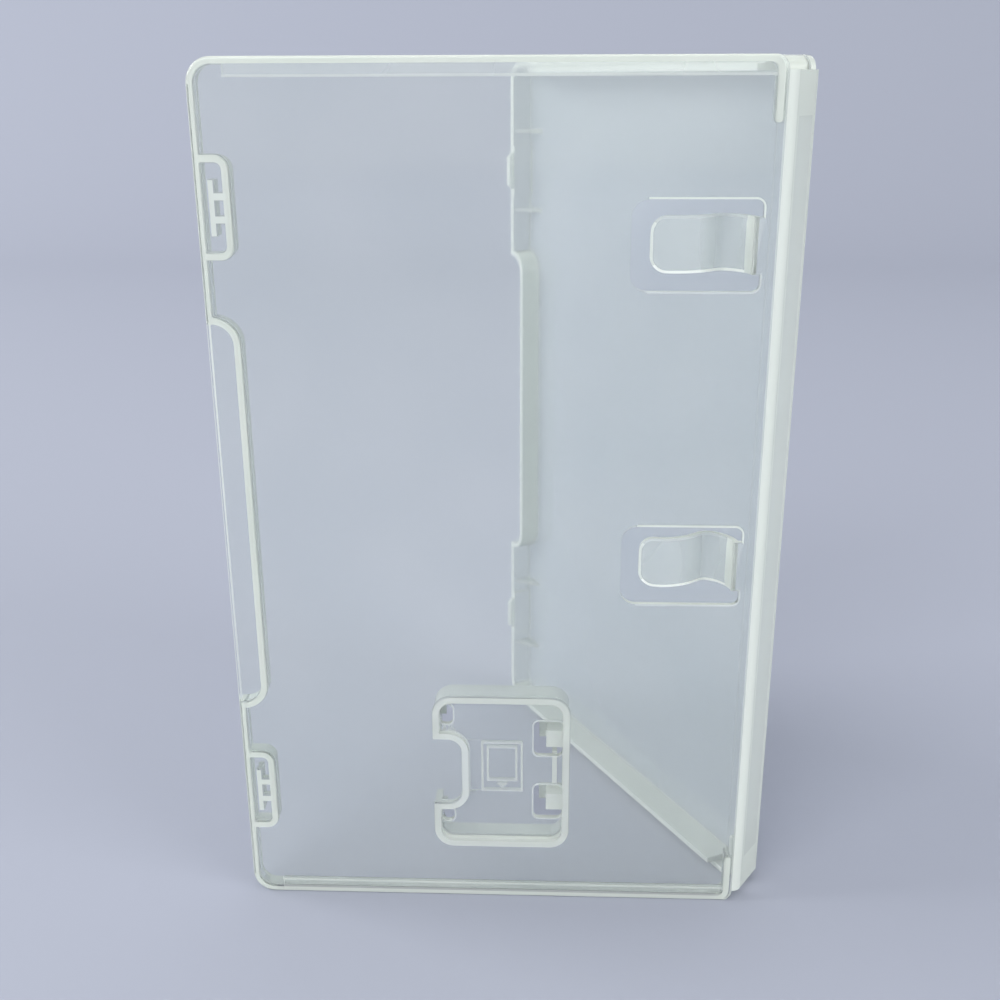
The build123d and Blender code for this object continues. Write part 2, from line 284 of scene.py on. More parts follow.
@dataclass(frozen=True)
class MattPaper:
    """Seamless background paper: matt, even and pale, with a fine tooth."""

    name: str
    colour: str
    roughness: float = 0.85
    tooth_mm: float = 0.8
    tooth_detail: float = 2.0
    tooth_height_mm: float = 0.01

    def material(self) -> bpy.types.Material:
        """Builds the paper's node material.

        Returns:
            A Principled material that scatters light evenly, so that the floor shows only the soft shadow.
        """
        material, tree, coords = new_tree(self.name)
        bump = add_node(
            tree,
            "ShaderNodeBump",
            {"Distance": self.tooth_height_mm * MM},
            {"Height": add_noise(tree, coords, self.tooth_mm, self.tooth_detail)},
        )
        paper = add_node(
            tree,
            "ShaderNodeBsdfPrincipled",
            {"Base Color": linear(self.colour), "Roughness": self.roughness},
            {"Normal": bump.outputs["Normal"]},
        )
        add_node(tree, "ShaderNodeOutputMaterial", {}, {"Surface": paper.outputs["BSDF"]})
        return material


FINISHES = {
    # Thin flats from a polished mould: the eye looks straight through them, under a slight veil
    Zone.PANEL: ClearPolypropylene(
        "polished_clear_polypropylene",
        tint="#f6f9f7",
        shade="#edf2f1",
        clarity=0.86,
        smooth=0.03,
        rough=0.07,
        ripple_height_mm=0.015,
    ),
    # Drafted sides of thin walls: as clear but softer, so that a wall looks hollow between its edges
    Zone.SIDE: ClearPolypropylene(
        "drafted_polypropylene_side",
        tint="#f6faf5",
        shade="#eef4ee",
        clarity=0.86,
        smooth=0.05,
        rough=0.12,
        ripple_height_mm=0.008,
    ),
    # Thick plastic and walls seen end-on: milky, with a trace of green
    # Also painted highlights along the spine's edges, the tabs' sides, the tab windows' tops and the notch
    Zone.WALL: ClearPolypropylene(
        "milky_polypropylene_wall",
        tint="#f7fbf3",
        shade="#ecf4e9",
        clarity=0.40,
        smooth=0.12,
        rough=0.20,
        ripple_height_mm=0.008,
    ),
    # Rims of the walls: light leaves the plastic there, and they look nearly white
    # Also a painted highlight along the bottom edge of each sprung tab
    Zone.RIM: ClearPolypropylene(
        "bright_polypropylene_rim",
        tint="#f8fbf5",
        shade="#f0f6ee",
        clarity=0.12,
        smooth=0.10,
        rough=0.18,
        ripple_height_mm=0.006,
    ),
    # Narrow strips where an edge is rounded, and low steps: thin pale lines beside the clear flats
    # On the strips along edges and ledges, this pale finish is a painted highlight of the edge
    Zone.LINE: ClearPolypropylene(
        "pale_line_and_painted_edge_highlight",
        tint="#f7fbf6",
        shade="#eff5ef",
        clarity=0.62,
        smooth=0.08,
        rough=0.14,
        ripple_height_mm=0.006,
    ),
    # Card holder and spine from an etched mould: frosted, so that their forms stand out
    Zone.HOLDER: ClearPolypropylene(
        "etched_polypropylene_holder",
        tint="#f7fbf5",
        shade="#eef4ec",
        clarity=0.50,
        smooth=0.12,
        rough=0.20,
        ripple_height_mm=0.008,
    ),
    # Sprung clips and the upper ledge: a light veil beside the clear panel
    Zone.TAB: ClearPolypropylene(
        "flexed_polypropylene_tab",
        tint="#f6faf7",
        shade="#edf3f0",
        clarity=0.73,
        smooth=0.05,
        rough=0.10,
        ripple_height_mm=0.010,
    ),
    # Front cover's panel: a bluish haze that shows it behind the clear one
    Zone.HAZE: ClearPolypropylene(
        "hazy_polypropylene_panel",
        tint="#f2f7f8",
        shade="#e9f0f3",
        clarity=0.71,
        smooth=0.04,
        rough=0.09,
        ripple_height_mm=0.012,
    ),
}
# Webs of the living hinges: folding has whitened them
WEB_FINISH = ClearPolypropylene(
    "flexed_polypropylene_web",
    tint="#f7fbf4",
    shade="#eef5ec",
    clarity=0.27,
    smooth=0.10,
    rough=0.18,
    ripple_height_mm=0.006,
)
# Background paper: matt and pale, so that it shows only the soft shadow of the case
PAPER_FINISH = MattPaper("pale_grey_paper", "#a6aab7")


def inside(spot_mm: Vector, window_mm: Window) -> bool:
    """Tells whether a place lies in a window."""
    least_across, most_across, least_up, most_up = window_mm
    return least_across < spot_mm.x < most_across and least_up < spot_mm.y < most_up


def in_any(spot_mm: Vector, windows_mm: tuple[Window, ...]) -> bool:
    """Tells whether a place lies in one of several windows."""
    return any(inside(spot_mm, window_mm) for window_mm in windows_mm)


@dataclass(frozen=True)
class Patch:
    """A window on a moulding whose faces have a finish of their own."""

    window_mm: Window
    zone: Zone


def patched(spot_mm: Vector, patches: tuple[Patch, ...], zone: Zone) -> Zone:
    """Finish at a place: that of the first patch that holds it, or else the zone given."""
    return next((patch.zone for patch in patches if inside(spot_mm, patch.window_mm)), zone)


@dataclass(frozen=True)
class Level:
    """A flat of a moulding, cut afresh so that its edges and what stands behind it have faces of their own.

    The flat lies at a depth below the outer face, and faces out of the case unless faces_in is set.
    """

    depth_mm: float
    foot_depths_mm: tuple[float, ...] = ()
    # Width and finish of the strips along the flat's edges: a painted highlight
    strip_mm: float = 0.35
    strip: Zone = Zone.LINE
    faces_in: bool = False


@dataclass
class Moulding:
    """A rigid region of the case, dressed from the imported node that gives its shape.

    Places on it are given in millimetres: across the cover from its hinge axis, and up from the floor. How a
    face lies is told by its facing, the cosine between its normal and the way into the case.
    """

    node: str
    body: str
    axis_mm: tuple[float, float]
    inward_deg: float
    levels: tuple[Level, ...]
    holder_mm: Window | None = None
    holder_floor_mm: float = 0.0
    holder_slack_mm: float = 0.05
    holder_thin_mm: float = 1.2
    tabs_mm: tuple[Window, ...] = ()
    milky_mm: tuple[Window, ...] = ()
    patches: tuple[Patch, ...] = ()
    # Windows where the painted edge highlights take another finish, or none
    strip_patches: tuple[Patch, ...] = ()
    lines_mm: tuple[tuple[tuple[float, float], tuple[float, float]], ...] = ()
    panel: Zone = Zone.PANEL
    thin_mm: float = 1.8
    side_mm: float = 4.0
    rim_mm: float = 4.1
    reach_mm: float = 1.0
    tab_trim_mm: float = 0.5
    tab_root_mm: float = 0.02
    tab_lower_share: float = 0.15
    tab_upper_share: float = 0.85
    tab_facing: float = 0.5
    tab_tilt: float = 0.5
    level_facing: float = 0.99
    panel_facing: float = 0.75
    side_facing: float = 0.2
    upright_facing: float = 0.1
    least_mitre: float = 0.4
    round_mm: float = 0.0
    round_steps: int = 3
    smooth_deg: float = 32.0
    flat_weight: int = 100

    def build(self, nodes: dict[str, bpy.types.Object]) -> bpy.types.Object:
        """Copies the node, merges the copy, and dresses it as a clear moulding.

        Args:
            nodes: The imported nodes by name.

        Returns:
            The dressed piece, riding on its body.
        """
        piece = self.merged_copy(nodes[self.node])
        for zone in Zone:
            piece.data.materials.append(FINISHES[zone].material())
        for level in self.levels:
            self.imprint(piece, level)
        if self.tabs_mm:
            self.trim_tabs(piece)
        self.dress(piece)
        self.shade(piece)
        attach(piece, self.body)
        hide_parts(self.node)
        return piece

    def merged_copy(self, node: bpy.types.Object) -> bpy.types.Object:
        """Copies a node, joins the copy's seams and rounds its edges where the moulding asks for it.

        Args:
            node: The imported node.

        Returns:
            The copy, without materials.
        """
        mesh = node.data.copy()
        mesh.materials.clear()
        piece = bpy.data.objects.new(f"{self.node}_moulding", mesh)
        bpy.context.scene.collection.objects.link(piece)
        select_only(piece)
        bpy.ops.mesh.customdata_custom_splitnormals_clear()
        bpy.ops.object.mode_set(mode="EDIT")
        bpy.ops.mesh.select_all(action="SELECT")
        bpy.ops.mesh.remove_doubles(threshold=WELD_MM * MM)
        if self.round_mm:
            bpy.ops.mesh.dissolve_limited(angle_limit=math.radians(FLAT_DEG))
            bpy.ops.mesh.select_all(action="SELECT")
            bpy.ops.mesh.bevel(offset=self.round_mm * MM, segments=self.round_steps)
        bpy.ops.object.mode_set(mode="OBJECT")
        return piece

    @property
    def inward(self) -> Vector:
        """Direction from the outer face into the case."""
        return level_direction(self.inward_deg)

    @property
    def across(self) -> Vector:
        """Direction across the cover, along its outer face."""
        return Vector((-self.inward.y, self.inward.x, 0))

    def depth_mm(self, point: Vector) -> float:
        """Distance of a point from the plane of the outer face."""
        return (point - Vector((*self.axis_mm, 0)) * MM).dot(self.inward) / MM

    def spot_mm(self, point: Vector) -> Vector:
        """Place of a point on the cover, across it and up."""
        return Vector(((point - Vector((*self.axis_mm, 0)) * MM).dot(self.across), point.z)) / MM

    def point(self, spot_mm: Vector, level: Level) -> Vector:
        """Point of a place on a flat."""
        upright = Vector((*self.axis_mm, spot_mm.y))
        return (upright + self.across * spot_mm.x + self.inward * level.depth_mm) * MM

    def imprint(self, piece: bpy.types.Object, level: Level) -> None:
        """Cuts a flat along the feet of what stands behind it, and cuts a narrow strip along its edges.

        The flat is triangulated afresh, with the feet, the strips and the extra lines laid onto it.

        Args:
            piece: The merged copy of the node.
            level: The flat that is cut.
        """
        work = bmesh.new()
        work.from_mesh(piece.data)
        strip_layer = work.faces.layers.int.get(STRIP) or work.faces.layers.int.new(STRIP)
        flat = {f for f in work.faces if self.lies_on(f, level)}
        border = [e for e in work.edges if sum(f in flat for f in e.link_faces) == 1]
        feet = [e for e in work.edges if self.is_foot(e, level)]
        corners = list(dict.fromkeys(v for e in border for v in e.verts))
        feet_ends = list(dict.fromkeys(v for e in feet for v in e.verts if v not in corners))
        number = {v: i for i, v in enumerate(corners + feet_ends)}
        points = [self.spot_mm(v.co) for v in number]
        lines = [tuple(number[v] for v in e.verts) for e in (*border, *feet)]
        if level.depth_mm == 0:
            for ends in self.lines_mm:
                lines.append(tuple(self.point_number(points, Vector(end)) for end in ends))
        first_inset = len(points)
        self.add_strips(points, lines, border, flat, number, level.strip_mm)
        spots, _, triangles, sources, _, _ = delaunay_2d_cdt(points, lines, [], 0, TOUCH_MM)
        old = BVHTree.FromPolygons(
            [v.co.copy() for v in work.verts], [[v.index for v in f.verts] for f in flat], epsilon=0.0
        )
        bmesh.ops.delete(work, geom=list(flat), context="FACES")
        rim = [e for e in border if e.is_valid]
        verts = []
        on_border = []
        for spot, source in zip(spots, sources):
            own = [corners[i] for i in source if i < len(corners)]
            point = self.point(spot, level)
            if own:
                verts.append(own[0])
            elif any(i >= first_inset for i in source):
                verts.append(work.verts.new(point))
            else:
                verts.append(self.new_corner(work, rim, point))
            on_border.append(bool(verts[-1].link_edges))
        outward = self.inward * (1 if level.faces_in else -1)
        reach = self.reach_mm * MM
        for triangle in triangles:
            middle = sum((verts[i].co for i in triangle), Vector()) / 3
            if old.ray_cast(middle - self.inward * reach, self.inward, 2 * reach)[0] is None:
                continue
            face = work.faces.new([verts[i] for i in triangle])
            # Triangles at the flat's edges make up its strip, which takes the painted highlight
            face[strip_layer] = level.strip.value if any(on_border[i] for i in triangle) else Zone.PANEL.value
            face.normal_update()
            if face.normal.dot(outward) < 0:
                face.normal_flip()
        bmesh.ops.delete(work, geom=[v for v in work.verts if not v.link_faces], context="VERTS")
        work.to_mesh(piece.data)
        work.free()

    def lies_on(self, face: bmesh.types.BMFace, level: Level) -> bool:
        """Tells whether a face is part of a flat.

        Args:
            face: Face of the merged copy.
            level: The flat.

        Returns:
            True where all its corners are at the flat's depth and it faces the flat's way.
        """
        if any(abs(self.depth_mm(v.co) - level.depth_mm) > FLAT_MM for v in face.verts):
            return False
        return (face.normal.dot(self.inward) > 0) == level.faces_in

    def is_foot(self, edge: bmesh.types.BMEdge, level: Level) -> bool:
        """Tells whether an edge is the foot of something that stands behind a flat.

        Args:
            edge: Edge of the merged copy.
            level: The flat.

        Returns:
            True where an upright face and a level face meet at a foot depth.
        """
        depths = [self.depth_mm(v.co) for v in edge.verts]
        found = [f for f in level.foot_depths_mm if all(abs(depth - f) < NEAR_MM for depth in depths)]
        if not found:
            return False
        upright = any(
            abs(f.normal.dot(self.inward)) < self.upright_facing
            and self.depth_mm(f.calc_center_median()) > found[0]
            for f in edge.link_faces
        )
        return upright and any(abs(f.normal.dot(self.inward)) > self.level_facing for f in edge.link_faces)

    @staticmethod
    def point_number(points: list[Vector], spot: Vector) -> int:
        """Finds a point at a place, or adds one.

        Args:
            points: Points so far.
            spot: The place.

        Returns:
            Number of the point.
        """
        near = [i for i, point in enumerate(points) if (point - spot).length < NEAR_MM]
        if not near:
            points.append(spot)
        return near[0] if near else len(points) - 1

    def add_strips(
        self,
        points: list[Vector],
        lines: list[tuple[int, ...]],
        border: list[bmesh.types.BMEdge],
        flat: set[bmesh.types.BMFace],
        number: dict[bmesh.types.BMVert, int],
        width_mm: float,
    ) -> None:
        """Adds lines that run beside a flat's edges, mitred at their corners.

        Args:
            points: Points on the flat, which gains the lines' ends.
            lines: Lines on the flat, which gains the new ones.
            border: Edges of the flat.
            flat: Faces of the flat.
            number: Number of each corner among the points.
            width_mm: Distance of the lines from the edges.
        """
        sides: dict[bmesh.types.BMEdge, Vector] = {}
        meeting: dict[bmesh.types.BMVert, list[bmesh.types.BMEdge]] = {}
        for edge in border:
            start, end = (points[number[v]] for v in edge.verts)
            face = next(f for f in edge.link_faces if f in flat)
            side = Vector((start.y - end.y, end.x - start.x)).normalized()
            inner = self.spot_mm(face.calc_center_median())
            sides[edge] = side if (inner - start).dot(side) > 0 else -side
            for vert in edge.verts:
                meeting.setdefault(vert, []).append(edge)
        inset: dict[bmesh.types.BMVert, int] = {}
        for vert, edges in meeting.items():
            if len(edges) == 2:
                one, two = (sides[e] for e in edges)
                mitre = max(1 + one.dot(two), self.least_mitre)
                inset[vert] = len(points)
                points.append(points[number[vert]] + (one + two) * (width_mm / mitre))
        lines += [tuple(inset[v] for v in e.verts) for e in border if all(v in inset for v in e.verts)]

    @staticmethod
    def new_corner(
        work: bmesh.types.BMesh, rim: list[bmesh.types.BMEdge], point: Vector
    ) -> bmesh.types.BMVert:
        """Adds a corner to a flat, and splits the rim edge that it lies on.

        Args:
            work: Mesh that is cut.
            rim: Edges round the flat, which gains an edge where one is split.
            point: Where the corner lies.

        Returns:
            The new corner.
        """
        for edge in rim:
            start, end = (v.co for v in edge.verts)
            nearest, share = intersect_point_line(point, start, end)
            if 0 < share < 1 and (nearest - point).length < TOUCH_MM * MM:
                half, corner = bmesh.utils.edge_split(edge, edge.verts[0], share)
                rim.append(half)
                return corner
        return work.verts.new(point)

    def trim_tabs(self, piece: bpy.types.Object) -> None:
        """Insets the outer skin of the sprung tabs, so that their edges have narrow faces of their own.

        Args:
            piece: The cut copy of the node.
        """
        mesh = piece.data
        mesh.vertices.foreach_set("select", [False] * len(mesh.vertices))
        mesh.edges.foreach_set("select", [False] * len(mesh.edges))
        for face in mesh.polygons:
            on_tab = in_any(self.spot_mm(face.center), self.tabs_mm)
            sprung = on_tab and self.depth_mm(face.center) > self.tab_root_mm
            faces_out = face.normal.dot(self.inward) < -self.upright_facing
            face.select = sprung and faces_out and abs(face.normal.z) < self.tab_tilt
        bpy.context.tool_settings.mesh_select_mode = (False, False, True)
        bpy.ops.object.mode_set(mode="EDIT")
        bpy.ops.mesh.inset(thickness=self.tab_trim_mm * MM, depth=0, use_select_inset=True)
        bpy.ops.object.mode_set(mode="OBJECT")
        strips = mesh.attributes[STRIP]
        for face in mesh.polygons:
            if face.select:
                strips.data[face.index].value = self.tab_edge(self.spot_mm(face.center)).value

    def tab_edge(self, spot_mm: Vector) -> Zone:
        """Finish of a tab's edge: a painted highlight, bright along the bottom and faint along the top.

        Args:
            spot_mm: Place on the edge.

        Returns:
            The edge's zone there.
        """
        _, _, least_up, most_up = next(tab for tab in self.tabs_mm if inside(spot_mm, tab))
        share = (spot_mm.y - least_up) / (most_up - least_up)
        if share < self.tab_lower_share:
            return Zone.RIM
        return Zone.LINE if share > self.tab_upper_share else Zone.WALL

    def dress(self, piece: bpy.types.Object) -> None:
        """Gives each face the finish of its zone, then joins flat neighbours of one zone.

        Args:
            piece: The cut copy of the node.
        """
        mesh = piece.data
        tree = BVHTree.FromPolygons([v.co for v in mesh.vertices], [face.vertices for face in mesh.polygons])
        strips = mesh.attributes[STRIP]
        for face in mesh.polygons:
            start = face.center - face.normal * TOUCH_MM * MM
            far = tree.ray_cast(start, -face.normal)[3]
            zone = self.zone(face.center, face.normal, (far or 0.0) / MM)
            # Strips on the panel and on the tabs take the finish of their painted highlight
            strip = Zone(strips.data[face.index].value)
            if strip is not Zone.PANEL:
                strip = patched(self.spot_mm(face.center), self.strip_patches, strip)
            if strip is not Zone.PANEL and zone in (self.panel, Zone.TAB):
                zone = strip
            face.material_index = zone.value
        mesh.attributes.remove(strips)
        bpy.ops.object.mode_set(mode="EDIT")
        bpy.ops.mesh.select_all(action="SELECT")
        bpy.ops.mesh.dissolve_limited(angle_limit=math.radians(FLAT_DEG), delimit={"MATERIAL"})
        bpy.ops.object.mode_set(mode="OBJECT")

    def zone(self, center: Vector, normal: Vector, thickness_mm: float) -> Zone:
        """Tells which zone a face lies in.

        Args:
            center: Middle of the face.
            normal: Outward normal of the face.
            thickness_mm: Plastic behind the face.

        Returns:
            The face's zone.
        """
        spot = self.spot_mm(center)
        facing = normal.dot(self.inward)
        level = abs(facing) > self.panel_facing
        thin = thickness_mm < self.thin_mm
        if in_any(spot, self.tabs_mm):
            on_skin = abs(facing) > self.tab_facing and abs(normal.z) < self.tab_tilt
            return Zone.TAB if on_skin else Zone.WALL
        if self.holder_mm is not None and inside(spot, self.holder_mm):
            raised = self.depth_mm(center) > self.holder_floor_mm + self.holder_slack_mm
            if raised or not level or not thin:
                return Zone.HOLDER
            return Zone.PANEL if thickness_mm < self.holder_thin_mm else Zone.LINE
        if level and thin:
            return patched(spot, self.patches, self.panel)
        if abs(facing) < self.side_facing and thickness_mm < self.side_mm:
            return Zone.WALL if in_any(spot, self.milky_mm) else Zone.SIDE
        if facing > self.side_facing:
            return Zone.RIM if self.depth_mm(center) > self.rim_mm else Zone.LINE
        return Zone.WALL

    def shade(self, piece: bpy.types.Object) -> None:
        """Shades rounded edges smooth and keeps the flats flat.

        Args:
            piece: The dressed piece.
        """
        select_only(piece)
        bpy.ops.object.shade_smooth_by_angle(angle=math.radians(self.smooth_deg))
        weighted = piece.modifiers.new("flat_panels", "WEIGHTED_NORMAL")
        weighted.keep_sharp = True
        weighted.weight = self.flat_weight
        bpy.ops.object.modifier_apply(modifier=weighted.name)


@dataclass(frozen=True)
class Fold:
    """A hinge of the case: where its axis stands, and how far it is folded from flat at rest."""

    axis_mm: tuple[float, float]
    turn_deg: float

    @classmethod
    def of_joint(cls, joints: list[dict[str, Any]], name: str, axis_mm: tuple[float, float]) -> Fold:
        """Reads a fold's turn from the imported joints, where the least angle of the range is flat open.

        Args:
            joints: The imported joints.
            name: Name of the joint.
            axis_mm: Where its axis stands.

        Returns:
            The fold.
        """
        joint = next(j for j in joints if j["name"] == name)
        return cls(axis_mm, -joint["range_deg"][0])


@dataclass(frozen=True)
class BackCover:
    """Back cover, which carries the card holder, the booklet clips, the latch pockets and the ledges.

    Places are in millimetres: across from the back hinge's axis, and up from the floor.
    """

    inward_deg: float = 90.0
    panel_mm: float = 1.1
    ledge_mm: float = 1.7
    holder_recess_mm: float = 1.2
    holder_floor_mm: float = 2.3
    holder_mm: Window = (36.2, 64.8, 12.3, 48.2)
    # Width of the painted highlight strips along the inner face's edges
    inner_strip_mm: float = 0.25
    clip_centers_mm: tuple[float, ...] = (138.25, 77.25)
    clip_across_mm: tuple[float, float] = (4.6, 23.8)
    clip_half_mm: float = 5.35
    root_across_mm: tuple[float, float] = (4.3, 5.1)
    root_half_mm: float = 5.25
    window_far_end_mm: tuple[float, float] = (23.9, 27.6)
    window_top_across_mm: tuple[float, float] = (3.5, 24.2)
    window_top_mm: float = 5.15
    window_half_mm: float = 8.55
    notch_wall_mm: Window = (98.0, 103.2, 45.0, 125.0)
    notch_edge_mm: Window = (103.8, 104.6, 46.0, 124.0)
    pockets_mm: tuple[Window, ...] = ((97.9, 104.4, 15.9, 34.7), (97.9, 104.4, 135.3, 154.1))
    bottom_wall_mm: Window = (0.0, 104.4, -0.1, 1.6)
    ledge_across_mm: tuple[float, float] = (3.1, 98.0)
    # Pale lines along the ledges' edges: painted highlights
    ledge_lines_mm: tuple[tuple[float, float], ...] = ((1.2, 1.75), (2.95, 3.4), (166.6, 167.05))
    ledge_cuts_mm: tuple[float, ...] = (1.75, 2.95, 3.4, 166.6, 167.05)
    top_ledge_mm: tuple[float, float] = (167.05, 168.9)

    def at_clips(self, across_mm: tuple[float, float], least_mm: float, most_mm: float) -> tuple[Window, ...]:
        """Windows at each booklet clip, with their heights measured from the clip's middle."""
        return tuple((*across_mm, center + least_mm, center + most_mm) for center in self.clip_centers_mm)

    def moulding(self, axis_mm: tuple[float, float]) -> Moulding:
        """Lays out the cover's finish.

        Args:
            axis_mm: Where the back hinge's axis stands.

        Returns:
            The cover, ready to build.
        """
        roots = self.at_clips(self.root_across_mm, -self.root_half_mm, self.root_half_mm)
        far_ends = self.at_clips(self.window_far_end_mm, -self.window_half_mm, self.window_half_mm)
        tops = self.at_clips(self.window_top_across_mm, self.window_top_mm, self.window_half_mm)
        start, end = self.ledge_across_mm
        return Moulding(
            "back_cover",
            "back_cover",
            axis_mm,
            self.inward_deg,
            (
                Level(0.0, (self.panel_mm, self.ledge_mm)),
                Level(self.holder_recess_mm, (self.holder_floor_mm,)),
                Level(self.panel_mm, strip_mm=self.inner_strip_mm, faces_in=True),
            ),
            holder_mm=self.holder_mm,
            holder_floor_mm=self.holder_floor_mm,
            tabs_mm=self.at_clips(self.clip_across_mm, -self.clip_half_mm, self.clip_half_mm),
            milky_mm=(self.notch_wall_mm, *self.pockets_mm, self.bottom_wall_mm),
            patches=(
                *(Patch((start, end, *up), Zone.LINE) for up in self.ledge_lines_mm),
                Patch((start, end, *self.top_ledge_mm), Zone.TAB),
            ),
            # Where the painted edge highlights are left out, and where they take the milky finish
            strip_patches=(
                *(Patch(window, Zone.PANEL) for window in (*roots, *far_ends)),
                *(Patch(window, Zone.WALL) for window in (*tops, self.notch_edge_mm)),
            ),
            lines_mm=tuple(((start, up), (end, up)) for up in self.ledge_cuts_mm),
        )


@dataclass(frozen=True)
class Spine:
    """Spine, a frosted plate whose ends are milky, with a painted highlight along its edges.

    Places are in millimetres: across from the back hinge's axis, and up from the floor.
    """

    across_mm: tuple[float, float] = (-10.6, 0.0)
    ends_mm: tuple[tuple[float, float], ...] = ((2.0, 10.0), (160.0, 168.0))
    cuts_mm: tuple[float, ...] = (10.0, 160.0)
    # Width of the milky strips along the spine's edges: painted highlights
    strip_mm: float = 0.8
    round_mm: float = 0.12

    def moulding(self, axis_mm: tuple[float, float], inward_deg: float) -> Moulding:
        """Lays out the spine's finish.

        Args:
            axis_mm: Where the back hinge's axis stands.
            inward_deg: Direction from its outer face into the case.

        Returns:
            The spine, ready to build.
        """
        start, end = self.across_mm
        return Moulding(
            "spine",
            "spine",
            axis_mm,
            inward_deg,
            (Level(0.0, strip_mm=self.strip_mm, strip=Zone.WALL),),
            patches=tuple(Patch((start, end, *up), Zone.WALL) for up in self.ends_mm),
            lines_mm=tuple(((start, up), (end, up)) for up in self.cuts_mm),
            panel=Zone.HOLDER,
            round_mm=self.round_mm,
        )


@dataclass(frozen=True)
class FrontCover:
    """Front cover, which carries the snap hooks, the gussets and the tongues.

    Places are in millimetres: across from the front hinge's axis, which is negative on the cover, and up from
    the floor.
    """

    panel_mm: float = 1.1
    # Width of the painted highlight strips along the inner face's edges
    inner_strip_mm: float = 0.25
    rim_mm: float = 5.7
    notch_wall_mm: Window = (-103.2, -98.0, 45.0, 125.0)
    returns_mm: tuple[Window, ...] = ((-6.0, 1.0, 165.0, 170.1), (-6.0, 1.0, -0.1, 5.0))
    bottom_wall_mm: Window = (-104.4, 0.0, 1.0, 2.8)

    def moulding(self, axis_mm: tuple[float, float], inward_deg: float) -> Moulding:
        """Lays out the cover's finish.

        Args:
            axis_mm: Where the front hinge's axis stands.
            inward_deg: Direction from its outer face into the case.

        Returns:
            The cover, ready to build.
        """
        return Moulding(
            "front_cover",
            "front_cover",
            axis_mm,
            inward_deg,
            (Level(0.0, (self.panel_mm,)), Level(self.panel_mm, strip_mm=self.inner_strip_mm, faces_in=True)),
            milky_mm=(self.notch_wall_mm, *self.returns_mm, self.bottom_wall_mm),
            panel=Zone.HAZE,
            rim_mm=self.rim_mm,
        )


@dataclass
class LivingHinge:
    """Thin web that bends between two mouldings, given with the way into the case at the first of them."""

    node: str
    bodies: tuple[str, str]
    fold: Fold
    inward_deg: float
    gap_mm: float = 1.25
    thickness_mm: float = 0.4
    foot_mm: float = 2.5
    height_mm: float = 165.0
    steps: int = 12
    smooth_deg: float = 30.0

    def build(self) -> bpy.types.Object:
        """Spins the web's section round the bend.

        Returns:
            The web.
        """
        axis = Vector((*self.fold.axis_mm, 0)) * MM
        turn = math.radians(self.fold.turn_deg)
        inward = level_direction(self.inward_deg)
        along = Vector((-inward.y, inward.x, 0))
        edge = axis + along * self.gap_mm * MM
        radius = self.gap_mm * MM / math.tan(turn / 2)
        rise = Vector((0, 0, self.foot_mm + self.height_mm / 2)) * MM
        bpy.ops.object.select_all(action="DESELECT")
        bpy.ops.mesh.primitive_plane_add(
            size=1,
            location=edge + inward * self.thickness_mm * MM / 2 + rise,
            rotation=(math.pi / 2, 0, math.atan2(inward.y, inward.x)),
        )
        web = bpy.context.active_object
        web.name = f"{self.node}_web"
        web.scale = (self.thickness_mm * MM, self.height_mm * MM, 1)
        apply_place(web)
        bpy.ops.object.mode_set(mode="EDIT")
        bpy.ops.mesh.select_all(action="SELECT")
        bpy.ops.mesh.spin(steps=self.steps, angle=-turn, center=edge + inward * radius, axis=(0, 0, 1))
        bpy.ops.mesh.select_all(action="SELECT")
        bpy.ops.mesh.remove_doubles(threshold=TOUCH_MM * MM)
        bpy.ops.mesh.normals_make_consistent(inside=False)
        bpy.ops.object.mode_set(mode="OBJECT")
        bpy.ops.object.shade_smooth_by_angle(angle=math.radians(self.smooth_deg))
        web.data.materials.append(WEB_FINISH.material())
        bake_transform(web)
        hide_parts(self.node)
        return web


@dataclass(frozen=True)
class Softbox:
    """Square soft lamp, with its place and side in metres and its radiant power in watts."""

    name: str
    place_m: tuple[float, float, float]
    side_m: float
    watts: float

    def build(self, target: Vector) -> None:
        """Hangs the lamp.

        Args:
            target: What it points at.
        """
        place = Vector(self.place_m)
        bpy.ops.object.light_add(type="AREA", location=place)
        lamp = bpy.context.active_object
        lamp.name = self.name
        lamp.data.shape = "SQUARE"
        lamp.data.size = self.side_m
        lamp.data.energy = self.watts
        lamp.rotation_euler = (target - place).to_track_quat("-Z", "Y").to_euler()


